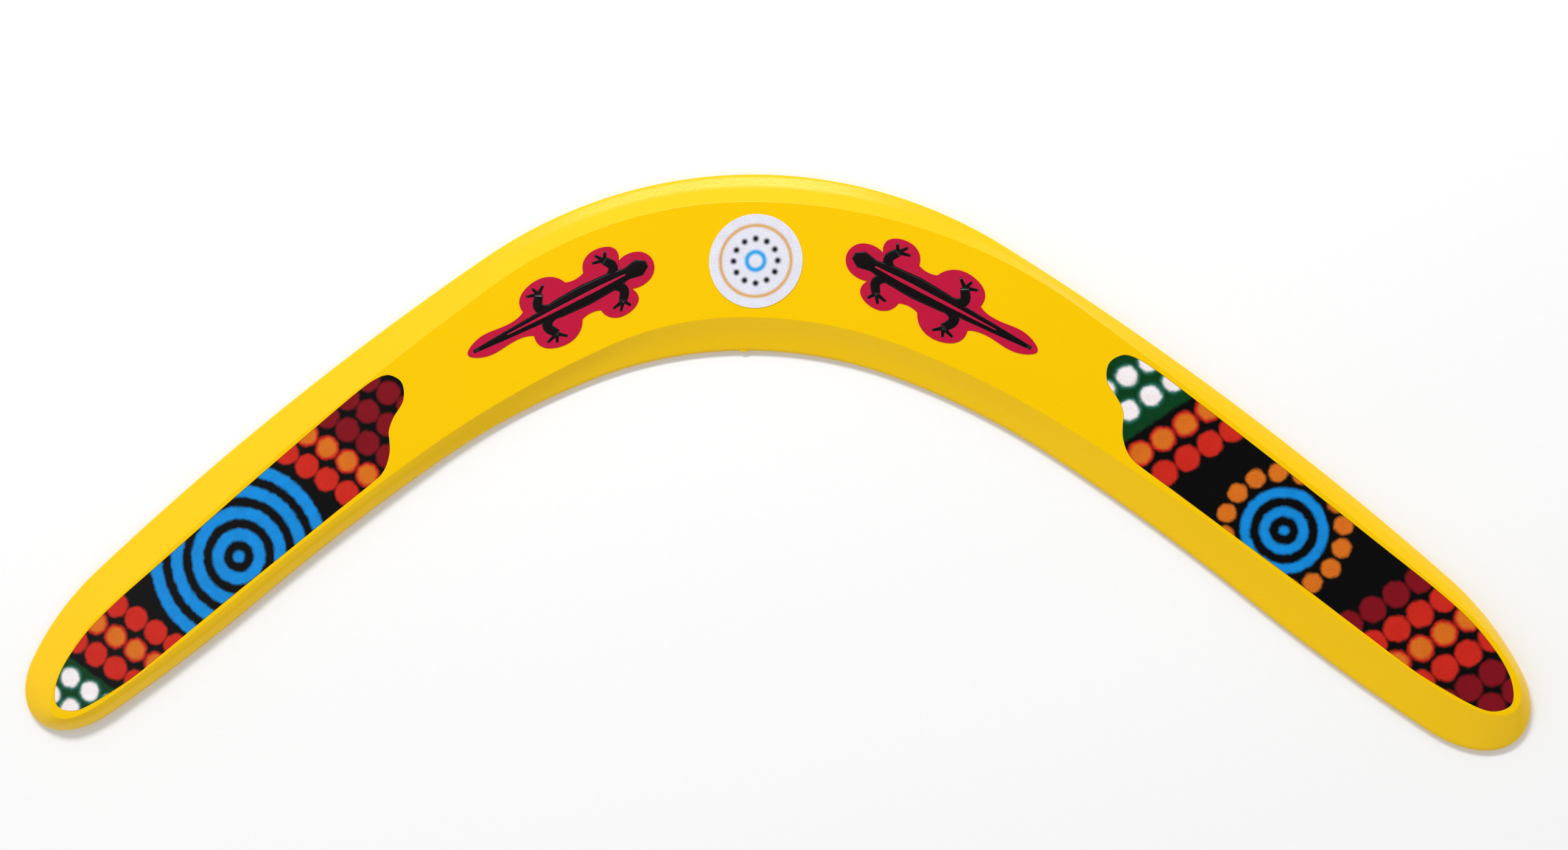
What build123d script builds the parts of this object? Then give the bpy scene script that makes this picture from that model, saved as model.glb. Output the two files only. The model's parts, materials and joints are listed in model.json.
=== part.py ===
# Returning boomerang: one injection-moulded blank with a flat underside, a flat
# plateau on top and bevelled edges, two film decals in shallow recesses along
# the arms, two die-cut lizard stickers and one round label on the elbow.
#
# Frame: millimetres, +Z up, underside on Z = 0, elbow towards +Y, arms towards
# -Y, and the blank's axis of symmetry in plan on X = 0.
from build123d import *

import os

os.makedirs("parts", exist_ok=True)

# Blank: heights
thickness = 5.5  # underside to plateau
edge_height = 1.6  # upright edge, below the bevels

# Blank: plan. Each edge is a chain of tangent arcs that starts level at the
# elbow, on the axis, and runs to the tip: (radius, turn in degrees), where a
# negative turn bends back towards +Y. A curve closes the tip, and its two
# reaches set how full the tip is.
elbow_y = 76.0  # outer edge of the elbow, on the axis
elbow_width = 47.9
rim_outer = [(130.0, 33.2), (874.0, 9.3), (78.0, 22.1)]
rim_inner = [(117.0, 20.6), (207.0, 13.4), (661.0, 5.4), (552.0, -5.6)]
rim_reach = (16.3, 22.3)

# Plateau: narrow bevels on the leading edges, wide ones on the trailing edges.
# A right-handed blank leads with the left arm's inner edge and with the right
# arm's outer edge, so the two arms have different plateaus.
plateau_outer_drop = 8.2  # elbow's outer edge to the plateau, on the axis
plateau_inner_drop = 39.4
right_plateau_outer = [(152.0, 37.3), (1816.0, 3.8), (56.0, 21.5)]
right_plateau_inner = [(121.0, 21.9), (260.0, 10.8), (681.0, 5.3), (1202.0, -2.2)]
right_plateau_reach = (9.2, 27.0)
left_plateau_outer = [(118.0, 35.2), (1090.0, 7.5), (53.0, 20.2)]
left_plateau_inner = [(90.0, 23.3), (299.0, 11.7), (818.0, 4.2), (866.0, -3.1)]
left_plateau_reach = (14.5, 24.0)

# Arm decals: both are cut with one shape, which is given about its own centre
# with its rounded tip to the right. The left arm has the mirror image.
decal_thickness = 0.2
recess_depth = 0.25
right_decal_place = (146.5, -97.5)  # from the outer edge of the elbow, on the axis
right_decal_turn = -40.0
left_decal_place = (-141.0, -101.3)
left_decal_turn = 40.9
decal_outline = [
    (-65.6, 3.0),
    (-64.2, 7.0),
    (-61.0, 8.5),
    (-56.0, 9.2),
    (-45.0, 9.6),
    (-16.0, 10.2),
    (20.0, 10.5),
    (34.0, 10.6),
    (46.0, 9.9),
    (56.0, 7.7),
    (62.0, 5.1),
    (65.5, 2.0),
    (66.4, -0.2),
    (65.2, -3.0),
    (62.5, -5.1),
    (56.0, -6.8),
    (44.0, -8.6),
    (20.0, -9.6),
    (-16.0, -11.2),
    (-40.0, -12.4),
    (-46.0, -12.2),
    (-50.3, -9.8),
    (-52.7, -7.0),
    (-54.3, -4.8),
    (-57.6, -2.8),
    (-62.8, -1.0),
]

# Stickers on the elbow: a round label, and one die-cut lizard shape used twice
sticker_thickness = 0.15
label_diameter = 25.4
label_place = (4.7, -24.3)  # from the outer edge of the elbow
left_sticker_place = (-49.3, -36.3)
left_sticker_turn = 26.0
right_sticker_place = (54.8, -36.2)
right_sticker_turn = 151.5
# Outline about the sticker's own centre, tail to the left: smooth stretches that
# meet at notches. The stretches of the upper side are mirrored for the lower one.
sticker_tail = [(-9.4, -3.6), (-17.0, -2.6), (-25.4, -2.2), (-28.2, 0.0), (-25.4, 2.2), (-17.0, 2.6), (-9.4, 3.6)]
sticker_head = [(20.4, 4.3), (24.0, 4.7), (27.5, 3.1), (28.8, 0.0), (27.5, -3.1), (24.0, -4.7), (20.4, -4.3)]
sticker_side = [
    [(-9.4, 3.6), (-8.6, 7.4), (-4.6, 9.5), (0.6, 9.3), (4.6, 5.6)],
    [(4.6, 5.6), (7.4, 5.1), (10.2, 5.7)],
    [(10.2, 5.7), (12.6, 9.2), (17.0, 9.8), (20.6, 8.0), (20.4, 4.3)],
]


def edge_chain(start, side, arcs):
    """Add one edge of an arm, from the axis towards the tip; return its last arc."""
    tangent = (side, 0)
    for radius, turn in arcs:
        arc = JernArc(start, tangent, radius, -side * turn)
        start = arc @ 1
        tangent = arc % 1
    return arc


def arm_plan(side, outer_y, inner_y, outer, inner, reach):
    """One arm's closed plan, from the axis of symmetry to the tip."""
    with BuildSketch() as plan:
        with BuildLine():
            outer_end = edge_chain((0, outer_y), side, outer)
            inner_end = edge_chain((0, inner_y), side, inner)
            Bezier(
                outer_end @ 1,
                outer_end @ 1 + (outer_end % 1) * reach[0],
                inner_end @ 1 + (inner_end % 1) * reach[1],
                inner_end @ 1,
            )
            Line((0, outer_y), (0, inner_y))
        make_face()
    return plan.sketch


def own_plane(place, turn):
    """A flat piece's own plane, placed from the outer edge of the elbow and turned."""
    return Plane((place[0], elbow_y + place[1], 0)).rotated((0, 0, turn))


def decal_plan(side, place, turn):
    """A decal's plan, mirrored for the left arm."""
    with BuildSketch(own_plane(place, turn)) as plan:
        with BuildLine():
            Spline(*[(side * x, y) for x, y in decal_outline], periodic=True)
        make_face()
    return plan.sketch


def sticker_plan(place, turn):
    """A lizard sticker's plan."""
    with BuildSketch(own_plane(place, turn)) as plan:
        with BuildLine():
            Spline(*sticker_tail)
            Spline(*sticker_head)
            for stretch in sticker_side:
                Spline(*stretch)
                Spline(*[(x, -y) for x, y in stretch])
        make_face()
    return plan.sketch


rim_y = (elbow_y, elbow_y - elbow_width)
plateau_y = (elbow_y - plateau_outer_drop, elbow_y - plateau_inner_drop)
arms = {
    "right": (
        arm_plan(1, *rim_y, rim_outer, rim_inner, rim_reach),
        arm_plan(1, *plateau_y, right_plateau_outer, right_plateau_inner, right_plateau_reach),
    ),
    "left": (
        arm_plan(-1, *rim_y, rim_outer, rim_inner, rim_reach),
        arm_plan(-1, *plateau_y, left_plateau_outer, left_plateau_inner, left_plateau_reach),
    ),
}
plans = {
    "right_arm_decal": decal_plan(1, right_decal_place, right_decal_turn),
    "left_arm_decal": decal_plan(-1, left_decal_place, left_decal_turn),
    "left_lizard_sticker": sticker_plan(left_sticker_place, left_sticker_turn),
    "right_lizard_sticker": sticker_plan(right_sticker_place, right_sticker_turn),
}

# Moulded blank: upright edge, bevels up to the plateau, and a recess for each decal
with BuildPart() as boomerang_blank:
    for rim, plateau in arms.values():
        for height, plan in ((0, rim), (edge_height, rim), (thickness, plateau)):
            with BuildSketch(Plane.XY.offset(height)):
                add(plan)
        loft(ruled=True)
    for name in ("right_arm_decal", "left_arm_decal"):
        with BuildSketch(Plane.XY.offset(thickness)):
            add(plans[name])
        extrude(amount=-recess_depth, mode=Mode.SUBTRACT)
boomerang_blank.part.label = "boomerang_blank"
export_step(boomerang_blank.part, "parts/boomerang_blank.step")

# Film decals on the floors of the recesses
for name in ("right_arm_decal", "left_arm_decal"):
    with BuildPart() as decal:
        with BuildSketch(Plane.XY.offset(thickness - recess_depth)):
            add(plans[name])
        extrude(amount=decal_thickness)
    decal.part.label = name
    export_step(decal.part, f"parts/{name}.step")

# Die-cut lizard stickers on the plateau
for name in ("left_lizard_sticker", "right_lizard_sticker"):
    with BuildPart() as sticker:
        with BuildSketch(Plane.XY.offset(thickness)):
            add(plans[name])
        extrude(amount=sticker_thickness)
    sticker.part.label = name
    export_step(sticker.part, f"parts/{name}.step")

# Round label near the middle of the elbow
with BuildPart() as round_label:
    with BuildSketch(Plane.XY.offset(thickness)):
        with Locations((label_place[0], elbow_y + label_place[1])):
            Circle(label_diameter / 2)
    extrude(amount=sticker_thickness)
round_label.part.label = "round_label"
export_step(round_label.part, "parts/round_label.step")
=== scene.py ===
import json
import math

import bmesh
import bpy
from mathutils import Matrix, Vector
from mathutils.geometry import interpolate_bezier

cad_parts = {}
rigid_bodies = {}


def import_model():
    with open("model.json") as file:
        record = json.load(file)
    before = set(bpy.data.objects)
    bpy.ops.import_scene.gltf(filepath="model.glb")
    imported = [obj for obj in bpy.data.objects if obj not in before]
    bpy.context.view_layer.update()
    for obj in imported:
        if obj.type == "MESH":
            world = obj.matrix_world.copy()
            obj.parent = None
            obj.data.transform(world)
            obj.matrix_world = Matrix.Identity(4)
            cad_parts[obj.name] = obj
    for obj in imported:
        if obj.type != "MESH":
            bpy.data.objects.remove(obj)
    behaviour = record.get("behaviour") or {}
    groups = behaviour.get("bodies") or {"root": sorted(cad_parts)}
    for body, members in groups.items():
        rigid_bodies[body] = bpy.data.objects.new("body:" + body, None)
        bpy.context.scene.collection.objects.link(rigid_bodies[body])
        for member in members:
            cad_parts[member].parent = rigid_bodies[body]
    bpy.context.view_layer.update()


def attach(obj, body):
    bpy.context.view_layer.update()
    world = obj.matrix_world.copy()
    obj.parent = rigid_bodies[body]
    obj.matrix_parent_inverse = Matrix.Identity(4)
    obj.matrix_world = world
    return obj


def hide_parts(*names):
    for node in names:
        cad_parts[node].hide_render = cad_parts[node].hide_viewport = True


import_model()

# --- Camera ---
# A normal lens looks nearly straight down, from a little to the right of the
# elbow and a little towards the arms.
camera_data = bpy.data.cameras.new("camera")
camera_data.sensor_width = 36.0
camera_data.lens = 50.98
camera_data.clip_start = 0.01
camera = bpy.data.objects.new("camera", camera_data)
camera.location = (0.1019, -0.0349, 0.5874)
camera.rotation_euler = [math.radians(angle) for angle in (4.159, 8.717, 0.212)]
bpy.context.scene.collection.objects.link(camera)
bpy.context.scene.camera = camera
bpy.context.scene.view_settings.view_transform = "Standard"

# --- Stage and light ---
# A white paper sweep under a white sky that is dark overhead, so that level
# faces show no veil of reflected light. One softbox hangs high behind the
# elbow and puts the long highlight on the elbow's outer bevel.
MM = 0.001
sky_strength = 0.9
horizon_strength = 0.4
full_sky = 0.4  # sine of the height where the sky reaches its full strength
zenith = (0.7, 0.95)  # sines of the heights between which it darkens
zenith_share = 0.06
softbox_power = 12.0
softbox_size = (0.75, 0.2)
softbox_distance = 1.4
softbox_bearing = -14.0  # degrees from +Y, minus towards -X
softbox_height = 43.0  # degrees above the floor
floor_reach = 8.0


def linear(hex_colour):
    """An sRGB hex colour as linear RGBA."""
    channels = [int(hex_colour[i : i + 2], 16) / 255 for i in (1, 3, 5)]
    return [c / 12.92 if c <= 0.04045 else ((c + 0.055) / 1.055) ** 2.4 for c in channels] + [1.0]


def node(material, kind, settings=None, links=None):
    """Add a node. Settings are its attributes or input values, links are sockets by input."""
    added = material.node_tree.nodes.new(kind)
    for name, value in (settings or {}).items():
        if isinstance(name, str) and hasattr(added, name):
            setattr(added, name, value)
        else:
            added.inputs[name].default_value = value
    for name, socket in (links or {}).items():
        material.node_tree.links.new(socket, added.inputs[name])
    return added


def new_material(name):
    """An empty node material."""
    material = bpy.data.materials.new(name)
    material.use_nodes = True
    material.node_tree.nodes.clear()
    return material


def face_outwards(bm):
    """Turn the faces of a closed shell outwards."""
    bmesh.ops.recalc_face_normals(bm, faces=bm.faces)
    if bm.calc_volume(signed=True) < 0:
        bmesh.ops.reverse_faces(bm, faces=bm.faces)


def new_piece(name, bm, material):
    """A smooth-shaded object from a bmesh whose places are in millimetres."""
    bmesh.ops.scale(bm, vec=(MM, MM, MM), verts=bm.verts)
    for face in bm.faces:
        face.smooth = True
    mesh = bpy.data.meshes.new(name)
    bm.to_mesh(mesh)
    bm.free()
    mesh.materials.append(material)
    piece = bpy.data.objects.new(name, mesh)
    bpy.context.scene.collection.objects.link(piece)
    return piece


# Matt paper: bright, with no gloss and a barely visible tooth.
paper = new_material("matt white paper")
spot = node(paper, "ShaderNodeTexCoord").outputs["Object"]
tooth = node(paper, "ShaderNodeTexNoise", {"Scale": 1 / (1.5 * MM)}, {"Vector": spot})
tint = node(
    paper,
    "ShaderNodeMix",
    {"data_type": "RGBA", 6: linear("#FCFCFC"), 7: linear("#FFFFFF")},
    {0: tooth.outputs["Fac"]},
)
sheet = node(
    paper,
    "ShaderNodeBsdfPrincipled",
    {"Roughness": 0.95, "Specular IOR Level": 0.1},
    {"Base Color": tint.outputs[2]},
)
node(paper, "ShaderNodeOutputMaterial", links={"Surface": sheet.outputs[0]})

bm = bmesh.new()
bmesh.ops.create_grid(bm, x_segments=1, y_segments=1, size=floor_reach / MM)
floor = new_piece("floor", bm, paper)

softbox_data = bpy.data.lights.new("softbox", "AREA")
softbox_data.shape = "RECTANGLE"
softbox_data.size, softbox_data.size_y = softbox_size
softbox_data.energy = softbox_power
softbox = bpy.data.objects.new("softbox", softbox_data)
bearing, height = math.radians(softbox_bearing), math.radians(softbox_height)
to_softbox = Vector(
    (math.sin(bearing) * math.cos(height), math.cos(bearing) * math.cos(height), math.sin(height))
)
softbox.location = softbox_distance * to_softbox
softbox.rotation_euler = to_softbox.to_track_quat("Z", "Y").to_euler()
bpy.context.scene.collection.objects.link(softbox)

sky = bpy.data.worlds.new("even white sky")
sky.use_nodes = True
background = sky.node_tree.nodes["Background"]
upward = node(
    sky, "ShaderNodeSeparateXYZ", links={0: node(sky, "ShaderNodeTexCoord").outputs["Generated"]}
).outputs["Z"]
rise = node(
    sky,
    "ShaderNodeMapRange",
    {"From Max": full_sky, "To Min": horizon_strength, "To Max": sky_strength},
    {"Value": upward},
).outputs[0]
fall = node(
    sky,
    "ShaderNodeMapRange",
    {"From Min": zenith[0], "From Max": zenith[1], "To Min": 1.0, "To Max": zenith_share},
    {"Value": upward},
).outputs[0]
strength = node(sky, "ShaderNodeMath", {"operation": "MULTIPLY"}, {0: rise, 1: fall}).outputs[0]
sky.node_tree.links.new(strength, background.inputs["Strength"])
background.inputs["Color"].default_value = (1, 1, 1, 1)
bpy.context.scene.world = sky

# --- Blank ---
# One injection moulding in yellow polypropylene: a flat underside, a flat
# plateau with a shallow recess for each decal, and bevels that are narrow on
# the leading edges and wide on the trailing edges, with rounded creases.
thickness = 5.5
edge_height = 1.6
elbow_y = 76.0
elbow_width = 47.9
rim_outer = [(130.0, 33.2), (874.0, 9.3), (78.0, 22.1)]
rim_inner = [(117.0, 20.6), (207.0, 13.4), (661.0, 5.4), (552.0, -5.6)]
rim_reach = (16.3, 22.3)
plateau_outer_drop = 8.2
plateau_inner_drop = 39.4
right_plateau_outer = [(152.0, 37.3), (1816.0, 3.8), (56.0, 21.5)]
right_plateau_inner = [(121.0, 21.9), (260.0, 10.8), (681.0, 5.3), (1202.0, -2.2)]
right_plateau_reach = (9.2, 27.0)
left_plateau_outer = [(118.0, 35.2), (1090.0, 7.5), (53.0, 20.2)]
left_plateau_inner = [(90.0, 23.3), (299.0, 11.7), (818.0, 4.2), (866.0, -3.1)]
left_plateau_reach = (14.5, 24.0)
outer_steps = (60, 90, 26)
inner_steps = (36, 40, 44, 40)
tip_steps = 40
underside_round = 0.9
rim_round = 0.9
support = 0.3  # share of a fillet's length
rim_drop = 0.5  # from the rim down to where its rounding starts
crease_land = 0.06  # how far the crease's rounding runs onto the plateau
round_room = 1.4  # least length of a slope, over the two roundings on it
recess_depth = 0.25
recess_gap = 0.08
lip_round = 0.07
lip_steps = ((1.0, 0.0), (0.4, 0.2), (0.1, 0.6), (0.0, 1.5))  # outwards and down, in lip_round
film_clearance = 0.01  # between the recess's floor and the film


def edge_points(start_y, arcs, steps):
    """Points along one edge of an arm, from the axis to the tip, and the way it then heads."""
    point, heading = Vector((0.0, start_y)), 0.0
    points = [point]
    for (radius, turn), count in zip(arcs, steps):
        step = math.radians(turn) / count
        for _ in range(count):
            middle = heading - step / 2
            chord = 2 * radius * math.sin(abs(step) / 2)
            point = point + chord * Vector((math.cos(middle), math.sin(middle)))
            heading -= step
            points.append(point)
    return points, Vector((math.cos(heading), math.sin(heading)))


def arm_edges(outer_y, inner_y, outer, inner, reach):
    """An arm's outer edge, the curve round its tip, and its inner edge."""
    outer_edge, outer_way = edge_points(outer_y, outer, outer_steps)
    inner_edge, inner_way = edge_points(inner_y, inner, inner_steps)
    outer_handle = outer_edge[-1] + reach[0] * outer_way
    inner_handle = inner_edge[-1] + reach[1] * inner_way
    tip = interpolate_bezier(outer_edge[-1], outer_handle, inner_handle, inner_edge[-1], tip_steps + 1)
    return outer_edge, [point.to_2d() for point in tip], inner_edge


# For each bevel: how far a ridge along its middle stands above a plain slope (or
# below it, where the bevel is hollow), and how far the ridge and the crease at
# the plateau are rounded. Each has one value at the elbow and one on the arm.
bevel_shapes = {
    ("outer", 1): ((-0.45, 0.8, 0.6), (0.3, 0.8, 0.5)),
    ("outer", -1): ((-0.45, 0.8, 0.6), (0.0, 1.2, 0.7)),
    ("inner", 1): ((-0.35, 2.6, 1.7), (-0.1, 2.4, 1.0)),
    ("inner", -1): ((-0.35, 2.6, 1.7), (0.85, 2.0, 1.2)),
}


shape_change = (40.0, 110.0)  # from the elbow's shape to the arm's, by distance from the axis


def bevel_shape(side, edge, x):
    """The shape of a bevel at a distance from the axis, eased from the elbow's to the arm's."""
    at_elbow, on_arm = (Vector(shape) for shape in bevel_shapes[edge, side])
    elbow_end, arm_start = shape_change
    share = min(max((abs(x) - elbow_end) / (arm_start - elbow_end), 0.0), 1.0)
    return at_elbow.lerp(on_arm, share * share * (3 - 2 * share))


def arm_stations(side, plateau_arcs):
    """Stations round an arm, from the elbow's outer edge to its inner edge."""
    rim = arm_edges(elbow_y, elbow_y - elbow_width, rim_outer, rim_inner, rim_reach)
    plateau = arm_edges(elbow_y - plateau_outer_drop, elbow_y - plateau_inner_drop, *plateau_arcs)
    stations = []
    for part, low_edge, high_edge in zip(("outer", "tip", "inner"), rim, plateau):
        pairs = list(zip(low_edge, high_edge))
        for index, (low, high) in enumerate(pairs):
            if part == "tip":
                outer_shape = bevel_shape(side, "outer", low.x)
                shape = outer_shape.lerp(bevel_shape(side, "inner", low.x), index / tip_steps)
            else:
                shape = bevel_shape(side, part, low.x)
            pairs[index] = (Vector((side * low.x, low.y)), Vector((side * high.x, high.y)), shape)
        stations.append(pairs)
    outer, tip, inner = stations
    return outer + tip[1:-1] + inner[::-1]


def towards(start, end, distance):
    """The point at a distance from start, on the way to end."""
    return start + distance * (end - start).normalized()


def fillet(start, corner, end, segments=4):
    """Points that round a corner from start to end, and one more on the flat at each end."""
    shares = [k / segments for k in range(segments + 1)]
    bend = [(1 - s) ** 2 * start + 2 * s * (1 - s) * corner + s * s * end for s in shares]
    return [start + (start - corner) * support] + bend + [end + (end - corner) * support]


def bevel_rows(width, shape):
    """(distance in from the rim, height) from the underside up to the plateau."""
    ridge, ridge_round, crease_round = shape
    foot, rim = Vector((0.0, 0.0)), Vector((0.0, edge_height))
    middle = Vector((width / 2, (edge_height + thickness) / 2 + ridge))
    crease = Vector((width, thickness))
    tightness = min(1.0, (crease - middle).length / (round_room * (ridge_round + crease_round)))
    ridge_round, crease_round = tightness * ridge_round, tightness * crease_round
    rows = fillet(Vector((underside_round, 0.0)), foot, Vector((0.0, underside_round)))
    rows += fillet(Vector((0.0, edge_height - rim_drop)), rim, towards(rim, middle, tightness * rim_round))
    rows += fillet(
        towards(middle, rim, ridge_round), middle, towards(middle, crease, ridge_round)
    )
    rows += fillet(towards(crease, middle, crease_round), crease, crease + Vector((crease_land, 0.0)))
    return rows


def flat_face(bm, places):
    """A face through the places, whose corners remember their number."""
    corner_number = bm.verts.layers.int["corner"]
    corners = bmesh.ops.create_circle(bm, cap_ends=True, segments=len(places), radius=1.0)["verts"]
    for number, (corner, place) in enumerate(zip(corners, places)):
        corner[corner_number] = number
        corner.co = place
    return corners[0].link_faces[0]


def raise_face(bm, face, places):
    """Extrude a face and move each corner of the new face to its place."""
    corner_number = bm.verts.layers.int["corner"]
    grown = bmesh.ops.extrude_face_region(bm, geom=[face])["geom"]
    bmesh.ops.delete(bm, geom=[face], context="FACES_ONLY")
    face = next(part for part in grown if isinstance(part, bmesh.types.BMFace))
    for corner in face.verts:
        corner.co = places[corner[corner_number]]
    return face


def closed_curve(points, place, turn, mirrored, steps=10):
    """Points of a smooth closed curve, turned and placed from the outer edge of the elbow."""
    side, angle = -1 if mirrored else 1, math.radians(turn)
    curve = []
    for index in range(len(points)):
        before, start, end, after = (Vector(points[(index + k) % len(points)]) for k in (-1, 0, 1, 2))
        handles = start + (end - before) / 6, end - (after - start) / 6
        curve += interpolate_bezier(start, *handles, end, steps + 1)[:-1]
    placed = []
    for x, y in [(side * point.x, point.y) for point in curve]:
        along = x * math.cos(angle) - y * math.sin(angle)
        across = x * math.sin(angle) + y * math.cos(angle)
        placed.append(Vector((place[0] + along, elbow_y + place[1] + across)))
    return placed


def outset(curve, distance, height):
    """A closed curve moved outwards and set at a height."""
    following = curve[1:] + curve[:1]
    area = sum(a.x * b.y - b.x * a.y for a, b in zip(curve, following))
    moved = []
    for before, point, after in zip(curve[-1:] + curve[:-1], curve, following):
        along = (after - before).normalized() * math.copysign(distance, area)
        moved.append((point.x + along.y, point.y - along.x, height))
    return moved


decal_outline = [
    (-65.6, 3.0),
    (-64.2, 7.0),
    (-61.0, 8.5),
    (-56.0, 9.2),
    (-45.0, 9.6),
    (-16.0, 10.2),
    (20.0, 10.5),
    (34.0, 10.6),
    (46.0, 9.9),
    (56.0, 7.7),
    (62.0, 5.1),
    (65.5, 2.0),
    (66.4, -0.2),
    (65.2, -3.0),
    (62.5, -5.1),
    (56.0, -6.8),
    (44.0, -8.6),
    (20.0, -9.6),
    (-16.0, -11.2),
    (-40.0, -12.4),
    (-46.0, -12.2),
    (-50.3, -9.8),
    (-52.7, -7.0),
    (-54.3, -4.8),
    (-57.6, -2.8),
    (-62.8, -1.0),
]
decal_places = {
    "right_arm_decal": ((146.5, -97.5), -40.0, False),
    "left_arm_decal": ((-141.0, -101.3), 40.9, True),
}

stations = arm_stations(1, (right_plateau_outer, right_plateau_inner, right_plateau_reach))
stations += arm_stations(-1, (left_plateau_outer, left_plateau_inner, left_plateau_reach))[::-1][1:-1]
profiles = [bevel_rows((high - low).length, shape) for low, high, shape in stations]
rows = []
for row in range(len(profiles[0])):
    places = []
    for (low, high, _), profile in zip(stations, profiles):
        inward, up = profile[row]
        places.append((*towards(low, high, inward), up))
    rows.append(places)

bm = bmesh.new()
bm.verts.layers.int.new("corner")
face = flat_face(bm, rows[0])
underside_edges = list(face.edges)
for places in rows[1:]:
    face = raise_face(bm, face, places)
bmesh.ops.contextual_create(bm, geom=underside_edges)
plateau_edges = list(face.edges)
bmesh.ops.delete(bm, geom=[face], context="FACES_ONLY")
for place, turn, mirrored in decal_places.values():
    curve = closed_curve(decal_outline, place, turn, mirrored)
    face = flat_face(bm, outset(curve, recess_gap + 2 * lip_round, thickness))
    plateau_edges += list(face.edges)
    for distance, depth in lip_steps:
        places = outset(curve, recess_gap + distance * lip_round, thickness - depth * lip_round)
        face = raise_face(bm, face, places)
    raise_face(bm, face, outset(curve, recess_gap, thickness - recess_depth - film_clearance))
bmesh.ops.triangle_fill(bm, edges=plateau_edges, use_beauty=True, use_dissolve=False)

# The stub of the injection gate, trimmed off close to the elbow's inner edge.
gate_size = (1.8, 0.9, 1.0)
gate_round = 0.2
gate_place = (0.8, elbow_y - elbow_width + 0.1, 0.95)
face_outwards(bm)
gate = bmesh.ops.create_cube(bm, size=1.0)["verts"]
bmesh.ops.scale(bm, vec=gate_size, verts=gate)
bmesh.ops.translate(bm, vec=gate_place, verts=gate)
gate_edges = list({edge for corner in gate for edge in corner.link_edges})
bmesh.ops.bevel(
    bm, geom=gate_edges, offset=gate_round, segments=3, profile=0.5, affect="EDGES", material=-1
)

# Moulded polypropylene: saturated warm yellow, a soft gloss, and a fine even
# texture from the eroded mould that breaks up the highlight.
yellow = new_material("moulded yellow polypropylene")
spot = node(yellow, "ShaderNodeTexCoord").outputs["Object"]
cloud = node(yellow, "ShaderNodeTexNoise", {"Scale": 1 / (60 * MM), "Detail": 3.0}, {"Vector": spot})
grain = node(yellow, "ShaderNodeTexNoise", {"Scale": 1 / (1.1 * MM), "Detail": 3.0}, {"Vector": spot})
tint = node(
    yellow,
    "ShaderNodeMix",
    {"data_type": "RGBA", 6: linear("#F8C600"), 7: linear("#FCCC00")},
    {0: cloud.outputs["Fac"]},
)
gloss = node(yellow, "ShaderNodeMapRange", {"To Min": 0.18, "To Max": 0.34}, {"Value": grain.outputs["Fac"]})
relief = node(
    yellow, "ShaderNodeBump", {"Strength": 0.6, "Distance": 0.06 * MM}, {"Height": grain.outputs["Fac"]}
)
plastic = node(
    yellow,
    "ShaderNodeBsdfPrincipled",
    {"Specular IOR Level": 0.36, "Specular Tint": linear("#FFF4C8")},
    {"Base Color": tint.outputs[2], "Roughness": gloss.outputs[0], "Normal": relief.outputs[0]},
)
node(yellow, "ShaderNodeOutputMaterial", links={"Surface": plastic.outputs[0]})

blank = new_piece("boomerang_blank_moulding", bm, yellow)
blank.modifiers.new("flats stay flat", "WEIGHTED_NORMAL").mode = "FACE_AREA"
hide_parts("boomerang_blank")
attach(blank, "root")

# --- Arm decals ---
# Printed film, one in each recess: rows of soft-edged dots and rings in warm
# colours, green and blue on a black ground, under a clear glossy face.
decal_top = 5.45
dot_edge = 0.55
crimson, orange, red = "#80101E", "#D87420", "#CC2A1E"
blue, green, black, white = "#1290E8", "#06401E", "#060506", "#F8F8FF"


def own_axes(material, place, turn, mirrored, top):
    """Coordinates in millimetres about a flat piece's own centre."""
    side = -1 if mirrored else 1
    return node(
        material,
        "ShaderNodeMapping",
        {
            "vector_type": "TEXTURE",
            "Location": [c * MM for c in (place[0], elbow_y + place[1], top)],
            "Rotation": (0.0, 0.0, math.radians(turn)),
            "Scale": (side * MM, MM, MM),
        },
        {"Vector": node(material, "ShaderNodeTexCoord").outputs["Object"]},
    ).outputs[0]


def paint(material, below, colour, mask):
    """One colour printed over what is below it, where the mask is 1."""
    return node(
        material, "ShaderNodeMix", {"data_type": "RGBA", 7: linear(colour)}, {6: below, 0: mask}
    ).outputs[2]


def dot_rows(rows):
    """Leaning rows of dots across the film, some of them with a darker rim, from (place, colour)."""
    dots = []
    for along, colour in rows:
        for across in dot_places:
            centre = (along + row_lean * across, across)
            if colour in dot_rims:
                dots.append((centre, dot_radius, dot_rims[colour]))
                dots.append((centre, dot_radius - rim_width, colour))
            else:
                dots.append((centre, dot_radius, colour))
    return dots


def dot_circle(centre, reach, count, radius, colour):
    """Equally spaced dots on a circle."""
    angles = [2 * math.pi * k / count for k in range(count)]
    return [
        (Vector(centre) + reach * Vector((math.cos(angle), math.sin(angle))), radius, colour)
        for angle in angles
    ]


def ring_target(centre, count, step, width, colour):
    """A disc with equally spaced rings round it."""
    return [(centre, k * step, width, colour) for k in range(count)]


def paint_dots(material, below, spot, dots):
    """Dots printed one after another over what is below them."""
    for centre, radius, colour in dots:
        away = node(
            material, "ShaderNodeVectorMath", {"operation": "DISTANCE", 1: (*centre, 0.0)}, {0: spot}
        ).outputs["Value"]
        mask = node(
            material,
            "ShaderNodeMapRange",
            {
                "interpolation_type": "SMOOTHSTEP",
                "From Min": radius + dot_edge,
                "From Max": radius - dot_edge,
            },
            {"Value": away},
        ).outputs[0]
        below = paint(material, below, colour, mask)
    return below


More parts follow.
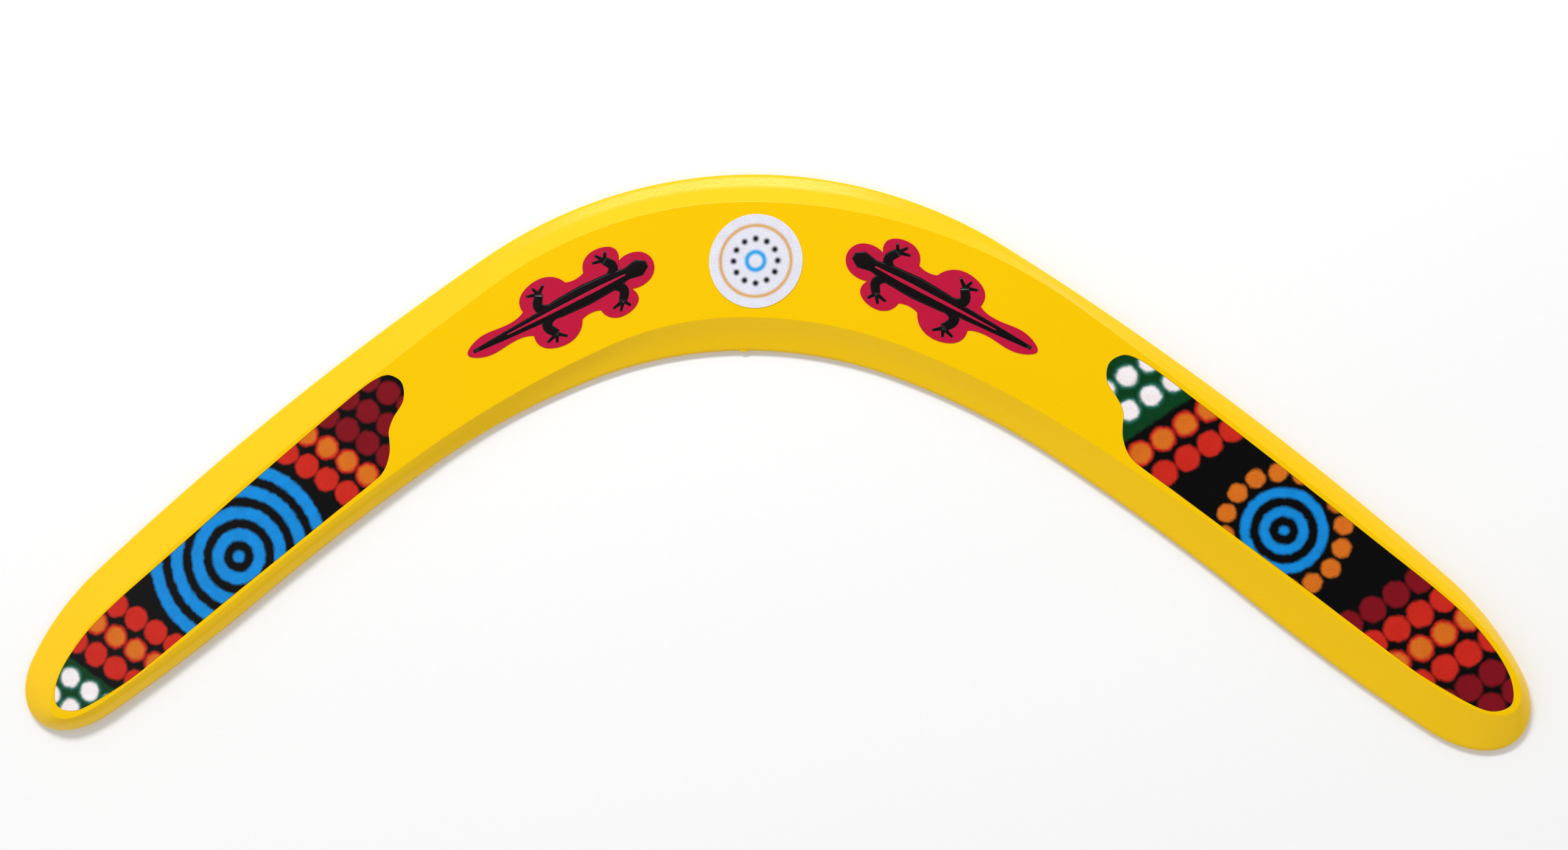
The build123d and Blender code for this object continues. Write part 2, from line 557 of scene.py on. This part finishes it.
def paint_ring(material, below, spot, centre, radius, width, colour):
    """A ring, from its distance to the middle of its band."""
    away = node(
        material, "ShaderNodeVectorMath", {"operation": "DISTANCE", 1: (*centre, 0.0)}, {0: spot}
    ).outputs["Value"]
    off_band = node(material, "ShaderNodeMath", {"operation": "SUBTRACT", 1: radius}, {0: away}).outputs[0]
    off_band = node(material, "ShaderNodeMath", {"operation": "ABSOLUTE"}, {0: off_band}).outputs[0]
    mask = node(
        material,
        "ShaderNodeMapRange",
        {
            "interpolation_type": "SMOOTHSTEP",
            "From Min": width / 2 + dot_edge,
            "From Max": width / 2 - dot_edge,
        },
        {"Value": off_band},
    ).outputs[0]
    return paint(material, below, colour, mask)


def paint_end(material, below, spot, past, way, colour):
    """One colour on all the film past a point, in the direction of way."""
    depth = node(
        material, "ShaderNodeVectorMath", {"operation": "DOT_PRODUCT", 1: (*way, 0.0)}, {0: spot}
    ).outputs["Value"]
    level = Vector(past).dot(Vector(way))
    mask = node(
        material,
        "ShaderNodeMapRange",
        {
            "interpolation_type": "SMOOTHSTEP",
            "From Min": level - dot_edge,
            "From Max": level + dot_edge,
        },
        {"Value": depth},
    ).outputs[0]
    return paint(material, below, colour, mask)


dot_radius = 3.3
rim_width = 0.7
dot_places = (-9.9, -3.3, 3.3, 9.9)
row_lean = 0.3
dot_rims = {white: "#2E7468", orange: red}
decal_art = {
    "right_arm_decal": (
        [((-46.6, 0.0), (-0.96, 0.28), green)],
        ring_target((-4.0, -2.0), 3, 4.9, 2.4, blue),
        dot_rows([(-61.0, white), (-53.0, white), (-41.5, orange), (-33.5, red)])
        + dot_circle((-4.0, -2.0), 15.0, 16, 2.4, orange)
        + dot_rows([(26.6, crimson), (34.2, red), (41.8, orange)])
        + dot_rows([(49.4, red), (57.0, crimson), (64.0, crimson)]),
    ),
    "left_arm_decal": (
        [((53.0, 0.0), (0.96, -0.28), green)],
        ring_target((0.0, -3.0), 5, 6.0, 3.3, blue),
        dot_rows([(-62.0, crimson), (-54.4, crimson), (-46.8, crimson)])
        + dot_rows([(-39.2, orange), (-31.6, red)])
        + dot_rows([(32.6, red), (40.2, orange), (47.8, red), (57.6, white), (65.0, white)]),
    ),
}


def printed_film(name, place, turn, mirrored, top, ground, art, wander=1.1, aged="#F4E0D6"):
    """Printed film with a clear face: wobbly soft edges, ink speckle and a sharp gloss."""
    film = new_material(name)
    flat = own_axes(film, place, turn, mirrored, top)
    wobble = node(film, "ShaderNodeTexNoise", {"Scale": 1 / 1.8, "Detail": 3.0}, {"Vector": flat})
    shift = node(
        film,
        "ShaderNodeVectorMath",
        {"operation": "MULTIPLY_ADD", 1: [wander] * 3, 2: [-wander / 2] * 3},
        {0: wobble.outputs["Color"]},
    )
    moved = node(film, "ShaderNodeVectorMath", {"operation": "ADD"}, {0: flat, 1: shift.outputs[0]})
    spot = node(
        film, "ShaderNodeVectorMath", {"operation": "MULTIPLY", 1: (1.0, 1.0, 0.0)}, {0: moved.outputs[0]}
    ).outputs[0]
    base = node(film, "ShaderNodeRGB")
    base.outputs[0].default_value = linear(ground)
    colour = base.outputs[0]
    ends, rings, dots = art
    for past, way, ink in ends:
        colour = paint_end(film, colour, spot, past, way, ink)
    for centre, radius, width, ink in rings:
        colour = paint_ring(film, colour, spot, centre, radius, width, ink)
    colour = paint_dots(film, colour, spot, dots)
    speckle = node(film, "ShaderNodeTexNoise", {"Scale": 1 / 0.35, "Detail": 1.0}, {"Vector": flat})
    shade = node(
        film, "ShaderNodeMapRange", {"To Min": 0.75, "To Max": 1.25}, {"Value": speckle.outputs["Fac"]}
    )
    colour = node(
        film,
        "ShaderNodeMix",
        {"data_type": "RGBA", "blend_type": "MULTIPLY", 0: 1.0},
        {6: colour, 7: shade.outputs[0]},
    ).outputs[2]
    blotch = node(film, "ShaderNodeTexNoise", {"Scale": 1 / 4.0, "Detail": 2.0}, {"Vector": flat})
    worn = node(
        film,
        "ShaderNodeMix",
        {"data_type": "RGBA", 6: (1.1, 1.1, 1.1, 1.0), 7: linear(aged)},
        {0: blotch.outputs["Fac"]},
    )
    inked = node(
        film,
        "ShaderNodeMix",
        {"data_type": "RGBA", "blend_type": "MULTIPLY", 0: 1.0},
        {6: colour, 7: worn.outputs[2]},
    )
    face = node(
        film,
        "ShaderNodeBsdfPrincipled",
        {"Roughness": 0.22, "Specular IOR Level": 0.4, "Coat Weight": 0.15, "Coat Roughness": 0.08},
        {"Base Color": inked.outputs[2]},
    )
    node(film, "ShaderNodeOutputMaterial", links={"Surface": face.outputs[0]})
    return film


for name, (place, turn, mirrored) in decal_places.items():
    film_name = name.replace("_", " ") + " printed film"
    film = printed_film(film_name, place, turn, mirrored, decal_top, black, decal_art[name])
    decal = bpy.data.objects[name]
    decal.data.materials.clear()
    decal.data.materials.append(film)

# --- Lizard stickers ---
# Die-cut crimson vinyl, one on each side of the elbow, with a lizard printed
# on it in thick black ink and a crimson line along its back.
sticker_top = 5.65
sticker_places = {"left": ((-49.3, -36.3), 26.0), "right": ((54.8, -36.2), 151.5)}
ink_flat = 0.02
body_stroke = [
    (27.0, 0.0, 0.9),
    (24.6, 0.0, 2.4),
    (20.8, 0.0, 1.7),
    (16.0, 0.0, 2.6),
    (8.0, 0.0, 3.0),
    (0.0, 0.0, 2.6),
    (-6.0, 0.0, 1.7),
    (-15.0, 0.0, 1.2),
    (-26.4, 0.0, 0.5),
]
# One side's limbs, each with the ends of its toes
limbs = [
    ([(15.0, 0.6, 1.2), (18.2, 3.3, 1.4), (16.8, 6.2, 1.2)], [(13.4, 6.9), (15.0, 8.5), (18.2, 8.3)]),
    ([(0.4, 0.6, 1.2), (-4.8, 2.6, 1.5), (-3.4, 6.0, 1.2)], [(-6.8, 7.0), (-4.4, 8.3), (-1.0, 7.9)]),
]
toe_radius = 0.6
toe_end_radius = 0.35
stripe = [(20.4, 0.0, 0.2), (12.0, 0.0, 0.5), (-2.0, 0.0, 0.45), (-16.0, 0.0, 0.15)]
stripe_lift = 0.06


def ink_strokes(name, strokes, place, turn, lift, material):
    """Flattened round strokes of ink, in one piece, on a sticker."""
    curve = bpy.data.curves.new(name, "CURVE")
    curve.dimensions = "3D"
    curve.bevel_depth = 1.0
    curve.bevel_resolution = 3
    curve.resolution_u = 6
    curve.use_fill_caps = True
    for stroke in strokes:
        spline = curve.splines.new("BEZIER")
        spline.bezier_points.add(len(stroke) - 1)
        for point, (x, y, radius) in zip(spline.bezier_points, stroke):
            point.co = (x, y, 0.0)
            point.radius = radius
            point.handle_left_type = point.handle_right_type = "AUTO"
    drawn = bpy.data.objects.new(name, curve)
    bm = bmesh.new()
    bm.from_mesh(bpy.data.meshes.new_from_object(drawn))
    bpy.data.objects.remove(drawn)
    bmesh.ops.remove_doubles(bm, verts=bm.verts, dist=0.001)
    face_outwards(bm)
    bmesh.ops.scale(bm, vec=(1, 1, ink_flat), verts=bm.verts)
    bmesh.ops.rotate(bm, matrix=Matrix.Rotation(math.radians(turn), 3, "Z"), verts=bm.verts)
    bmesh.ops.translate(bm, vec=(place[0], elbow_y + place[1], sticker_top + lift), verts=bm.verts)
    return new_piece(name, bm, material)


# Calendered vinyl: strong crimson, satin, with a faint pull along the roll.
vinyl = new_material("calendered crimson vinyl")
spot = node(vinyl, "ShaderNodeTexCoord").outputs["Object"]
mottle = node(vinyl, "ShaderNodeTexNoise", {"Scale": 1 / (2.0 * MM), "Detail": 3.0}, {"Vector": spot})
tint = node(
    vinyl,
    "ShaderNodeMix",
    {"data_type": "RGBA", 6: linear("#B80434"), 7: linear("#C60A3E")},
    {0: mottle.outputs["Fac"]},
)
satin = node(
    vinyl,
    "ShaderNodeBsdfPrincipled",
    {"Roughness": 0.35, "Specular IOR Level": 0.35},
    {"Base Color": tint.outputs[2]},
)
node(vinyl, "ShaderNodeOutputMaterial", links={"Surface": satin.outputs[0]})

# Screen ink: dense black, a little broken where the mesh left pinholes.
ink = new_material("screen printed black ink")
spot = node(ink, "ShaderNodeTexCoord").outputs["Object"]
pinholes = node(ink, "ShaderNodeTexNoise", {"Scale": 1 / (0.5 * MM), "Detail": 2.0}, {"Vector": spot})
tint = node(
    ink,
    "ShaderNodeMix",
    {"data_type": "RGBA", 6: linear("#050304"), 7: linear("#120608")},
    {0: pinholes.outputs["Fac"]},
)
dense = node(
    ink,
    "ShaderNodeBsdfPrincipled",
    {"Roughness": 0.28, "Specular IOR Level": 0.35},
    {"Base Color": tint.outputs[2]},
)
node(ink, "ShaderNodeOutputMaterial", links={"Surface": dense.outputs[0]})

strokes = [body_stroke]
for side in (1, -1):
    for limb, toes in limbs:
        strokes.append([(x, side * y, radius) for x, y, radius in limb])
        hand = limb[-1]
        for x, y in toes:
            strokes.append([(hand[0], side * hand[1], toe_radius), (x, side * y, toe_end_radius)])

for side, (place, turn) in sticker_places.items():
    sticker = bpy.data.objects[f"{side}_lizard_sticker"]
    sticker.data.materials.clear()
    sticker.data.materials.append(vinyl)
    lizard = ink_strokes(f"{side}_lizard_print", strokes, place, turn, 0.0, ink)
    back = ink_strokes(f"{side}_lizard_stripe", [stripe], place, turn, stripe_lift, vinyl)
    for piece in (lizard, back):
        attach(piece, "root")

# --- Round label ---
# A paper label with a gloss face, stuck near the middle of the elbow, printed
# with a plain ochre ring, a circle of black dots and a blue ring.
label_place = (4.7, -24.3)
label_blue = "#1FA5EA"
label_art = (
    [],
    [((0.0, 0.0), 9.6, 0.8, "#DCA030"), ((0.0, 0.0), 2.4, 1.2, label_blue)],
    dot_circle((0.0, 0.0), 6.0, 12, 0.8, "#101418"),
)
label_white, label_aged = "#E6E6F2", "#F4F4F4"
label_wander = 0.2
label_paper = printed_film(
    "gloss coated label paper",
    label_place,
    0.0,
    False,
    sticker_top,
    label_white,
    label_art,
    label_wander,
    label_aged,
)
label = bpy.data.objects["round_label"]
label.data.materials.clear()
label.data.materials.append(label_paper)
